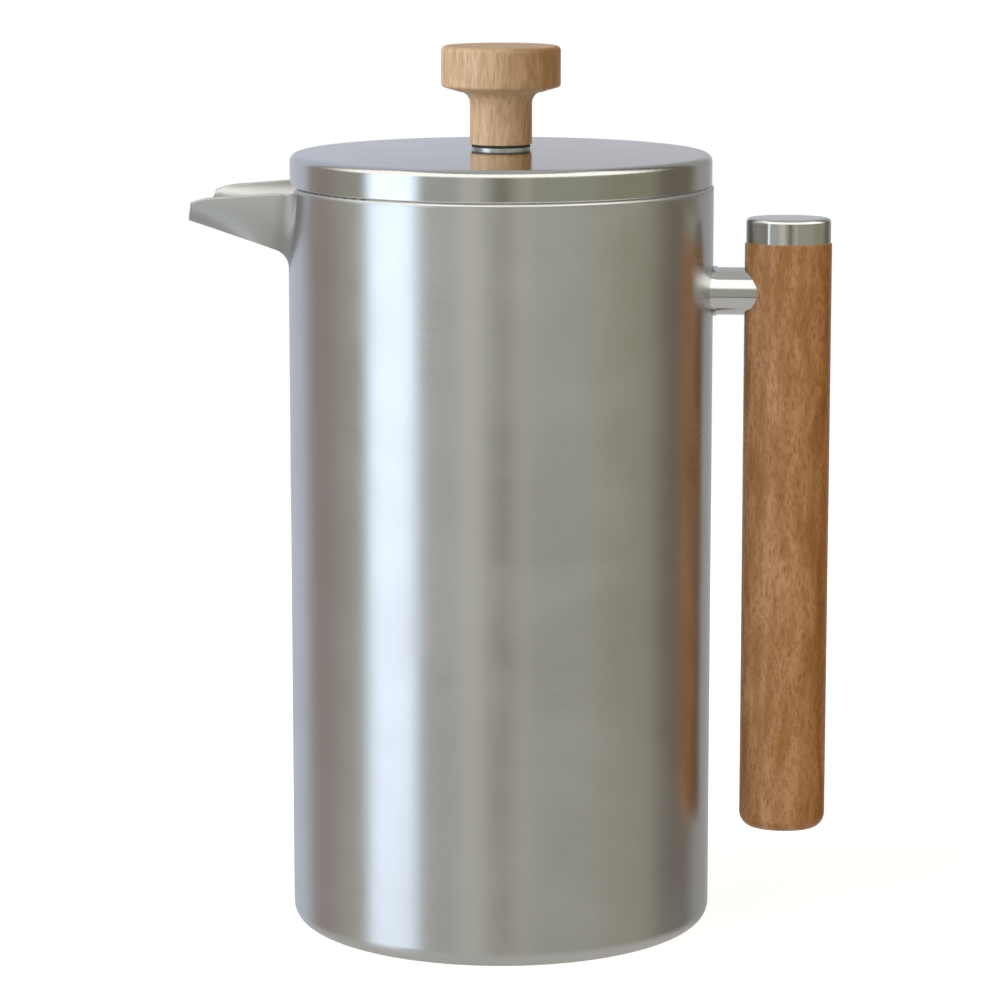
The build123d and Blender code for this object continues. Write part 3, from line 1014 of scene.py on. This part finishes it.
@dataclass(frozen=True)
class Floor:
    """Round pale floor that fades out before its edge and is clear from below."""

    radius: float = 0.75
    clear: float = 0.45
    margin: float = 0.02
    segments: int = 96
    drop: float = 0.0002
    base: Colour = (0.80, 0.68, 0.50)
    glow: float = 0.89
    rough: float = 0.9

    def build(self) -> None:
        """Lay the floor just under the press."""
        shape = bmesh.new()
        bmesh.ops.create_circle(shape, cap_ends=True, segments=self.segments, radius=self.radius)
        floor = new_object("pale_floor", shape)
        floor.location.z = -self.drop
        material, graph, shader = new_material("pale_floor")
        graph.feed(shader.inputs["Base Color"], self.base)
        graph.feed(shader.inputs["Emission Color"], WHITE)
        shader.inputs["Roughness"].default_value = self.rough
        shader.inputs["Specular IOR Level"].default_value = 0.0
        seen = graph.add("ShaderNodeLightPath").outputs["Is Camera Ray"]
        graph.feed(shader.inputs["Emission Strength"], graph.product(seen, self.glow))
        place = graph.add("ShaderNodeTexCoord").outputs["Object"]
        fade = graph.ease(graph.reach(place), self.clear, self.radius - self.margin)
        under = graph.add("ShaderNodeNewGeometry").outputs["Backfacing"]
        clear = graph.add("ShaderNodeBsdfTransparent")
        blend = graph.add("ShaderNodeMixShader")
        surface = shader.outputs[0].links[0].to_socket
        graph.feed(blend.inputs[0], graph.math("MAXIMUM", fade, under))
        graph.feed(blend.inputs[1], shader.outputs[0])
        graph.feed(blend.inputs[2], clear.outputs[0])
        graph.feed(surface, blend.outputs[0])
        floor.data.materials.append(material)
        floor.visible_glossy = False
        log.info("floor of %.2f m", 2.0 * self.radius)


@dataclass(frozen=True)
class Panel:
    """Soft-edged panel on the room's wall, in degrees round the press and metres of height."""

    middle: float
    half_width: float
    edge: float
    colour: Colour
    low: float = -9.0
    high: float = 9.0
    fade: float = 0.05


@dataclass(frozen=True)
class Room:
    """Drum-shaped grey room that only mirrors see."""

    radius: float = 1.6
    bottom: float = -1.4
    top: float = 3.2
    segments: int = 128
    wall: Colour = (0.38, 0.38, 0.32)
    ground: Colour = (0.58, 0.57, 0.545)
    ground_span: Span = (-0.62, -0.80)
    ceiling: Colour = (0.50, 0.50, 0.48)
    ceiling_span: Span = (-0.1, -0.02)
    panels: tuple[Panel, ...] = (
        Panel(190.0, 30.0, 12.0, (0.54, 0.55, 0.59)),
        Panel(-146.0, 24.0, 9.0, (0.60, 0.635, 0.74)),
        Panel(148.0, 16.0, 8.0, (0.38, 0.38, 0.37)),
        Panel(-106.0, 12.0, 8.0, (0.35, 0.285, 0.28)),
        Panel(-24.0, 22.0, 8.0, (0.47, 0.475, 0.46)),
        Panel(-54.7, 15.0, 5.0, (1.56, 1.80, 2.12)),
        Panel(-10.0, 6.0, 3.5, (0.62, 0.61, 0.56)),
        Panel(6.5, 4.0, 3.0, (0.25, 0.235, 0.18)),
        Panel(18.5, 3.0, 2.5, (0.49, 0.48, 0.40)),
        Panel(82.0, 22.0, 12.0, (0.32, 0.305, 0.225)),
        Panel(116.0, 18.0, 8.0, (0.19, 0.165, 0.135)),
        Panel(0.0, 100.0, 20.0, (1.60, 1.60, 1.52), low=0.68, fade=0.22),
        Panel(-4.0, 60.0, 20.0, (0.16, 0.155, 0.145), low=-0.62, high=-0.50),
    )
    blind_rays: tuple[str, ...] = ("camera", "diffuse", "shadow", "volume_scatter")

    def build(self) -> None:
        """Build the drum and light it up."""
        room = new_object("studio_room", self._drum())
        room.data.materials.append(self._material())
        for ray in self.blind_rays:
            setattr(room, f"visible_{ray}", False)
        log.info("room of %d panels", len(self.panels))

    def _drum(self) -> bmesh.types.BMesh:
        """Shape the wall, the ground and the ceiling.

        Returns:
            The shape.
        """
        shape = bmesh.new()
        bmesh.ops.create_cone(
            shape,
            cap_ends=False,
            segments=self.segments,
            radius1=self.radius,
            radius2=self.radius,
            depth=self.top - self.bottom,
        )
        middle = (self.top + self.bottom) / 2.0
        bmesh.ops.translate(shape, verts=shape.verts, vec=(0.0, 0.0, middle))
        for side in (-1.0, 1.0):
            ring = [vert for vert in shape.verts if side * (vert.co.z - middle) > 0.0]
            bmesh.ops.contextual_create(shape, geom=ring)
        return shape

    def _material(self) -> bpy.types.Material:
        """Paint the room with light.

        Returns:
            The material.
        """
        material = bpy.data.materials.new("studio_room")
        material.use_nodes = True
        graph = Graph(material.node_tree)
        x, y, z = graph.split(graph.add("ShaderNodeTexCoord").outputs["Object"])
        bearing = graph.math("DEGREES", graph.math("ARCTAN2", x, graph.product(y, -1.0)))
        colour = self.wall
        for panel in self.panels:
            turned = graph.math("SUBTRACT", bearing, panel.middle)
            away = graph.math("ABSOLUTE", graph.math("WRAP", turned, 180.0, -180.0))
            mask = graph.ease(away, panel.half_width + panel.edge, panel.half_width - panel.edge)
            if panel.low > self.bottom:
                rise = graph.ease(z, panel.low - panel.fade, panel.low + panel.fade)
                fall = graph.ease(z, panel.high + panel.fade, panel.high - panel.fade)
                mask = graph.product(mask, rise, fall)
            colour = graph.mix(mask, colour, panel.colour)
        overhead = graph.ease(z, *(self.top + below for below in self.ceiling_span))
        colour = graph.mix(overhead, colour, self.ceiling)
        colour = graph.mix(graph.ease(z, *self.ground_span), colour, self.ground)
        glow = graph.add("ShaderNodeEmission")
        graph.feed(glow.inputs["Color"], colour)
        output = graph.add("ShaderNodeOutputMaterial")
        graph.feed(output.inputs["Surface"], glow.outputs[0])
        return material


@dataclass(frozen=True)
class Lamp:
    """Square lamp that looks at the middle of the press."""

    name: str
    place: Point
    width: float
    power: float
    colour: Colour
    aim: Point = (0.0, 0.0, 0.11)

    def build(self) -> None:
        """Hang the lamp where no mirror sees it."""
        light = bpy.data.lights.new(self.name, "AREA")
        light.shape = "SQUARE"
        light.size = self.width
        light.energy = self.power
        light.color = self.colour
        lamp = bpy.data.objects.new(self.name, light)
        lamp.location = self.place
        lamp.rotation_mode = "QUATERNION"
        lamp.rotation_quaternion = (Vector(self.aim) - Vector(self.place)).to_track_quat("-Z", "Y")
        lamp.visible_glossy = False
        bpy.context.scene.collection.objects.link(lamp)
        log.info("lamp %s", self.name)


@dataclass
class Studio:
    """Pale floor, soft lamps, and the grey room that the steel mirrors."""

    floor: Floor = Floor()
    room: Room = Room()
    lamps: tuple[Lamp, ...] = (
        Lamp("window", (-1.24, -0.84, 0.72), 1.7, 28.0, (0.74, 0.87, 1.0)),
        Lamp("front", (-0.62, -1.15, 0.55), 0.5, 1.9, (0.92, 0.96, 1.0)),
        Lamp("fill", (1.05, -0.75, 0.7), 0.8, 0.6, (1.0, 0.72, 0.36)),
        Lamp("above", (-0.3, 0.0, 1.5), 1.2, 3.5, (1.0, 0.97, 0.92)),
    )
    ambient: float = 0.27
    ambient_tint: Colour = (1.0, 0.62, 0.16)

    def build(self) -> None:
        """Build the floor, the room, the lamps and the world."""
        for thing in (self.floor, self.room, *self.lamps):
            thing.build()
        self._world()

    def _world(self) -> None:
        """White where the camera or a mirror looks, dim for the rest."""
        world = bpy.data.worlds.new("studio_world")
        world.use_nodes = True
        bpy.context.scene.world = world
        graph = Graph(world.node_tree)
        path = graph.add("ShaderNodeLightPath").outputs
        mirrored = graph.math("MAXIMUM", path["Is Glossy Ray"], path["Is Transmission Ray"])
        seen = graph.math("MAXIMUM", path["Is Camera Ray"], mirrored)
        back = graph.add("ShaderNodeBackground")
        graph.feed(back.inputs["Color"], graph.mix(seen, self.ambient_tint, WHITE))
        graph.feed(back.inputs["Strength"], graph.remap(seen, self.ambient, 1.0))
        output = graph.add("ShaderNodeOutputWorld")
        graph.feed(output.inputs["Surface"], back.outputs[0])


@dataclass
class PhotoCamera:
    """Camera at the photograph's viewing angle."""

    lens: float = 142.57
    sensor_width: float = 36.0
    distance: float = 0.991
    bearing: float = 6.0
    pitch: float = 9.70
    aim_height: float = 0.1063
    shift_right: float = -0.001

    def build(self) -> None:
        """Make the camera and give it to the scene."""
        data = bpy.data.cameras.new("photo_camera")
        data.lens = self.lens
        data.sensor_width = self.sensor_width
        data.shift_x = self.shift_right
        camera = bpy.data.objects.new("photo_camera", data)
        turn, tilt = math.radians(self.bearing), math.radians(self.pitch)
        back = Vector((math.sin(turn) * math.cos(tilt), -math.cos(turn) * math.cos(tilt), math.sin(tilt)))
        camera.location = Vector((0.0, 0.0, self.aim_height)) + back * self.distance
        camera.rotation_mode = "QUATERNION"
        camera.rotation_quaternion = (-back).to_track_quat("-Z", "Y")
        bpy.context.scene.collection.objects.link(camera)
        bpy.context.scene.camera = camera
        log.info("camera %.0f mm at %.2f m", self.lens, self.distance)


def main() -> None:
    """Build the camera, the studio and every sub-assembly in order."""
    logging.basicConfig(level=logging.INFO, format="%(name)s: %(message)s")
    bpy.context.scene.view_settings.view_transform = "Standard"
    PhotoCamera().build()
    Studio().build()
    finishes = Finishes()
    for assembly in (Vessel(), Handle(), Lid(), Plunger()):
        assembly.build(finishes)
    SpringCoil().build(finishes)


if __name__ == "__main__":
    main()
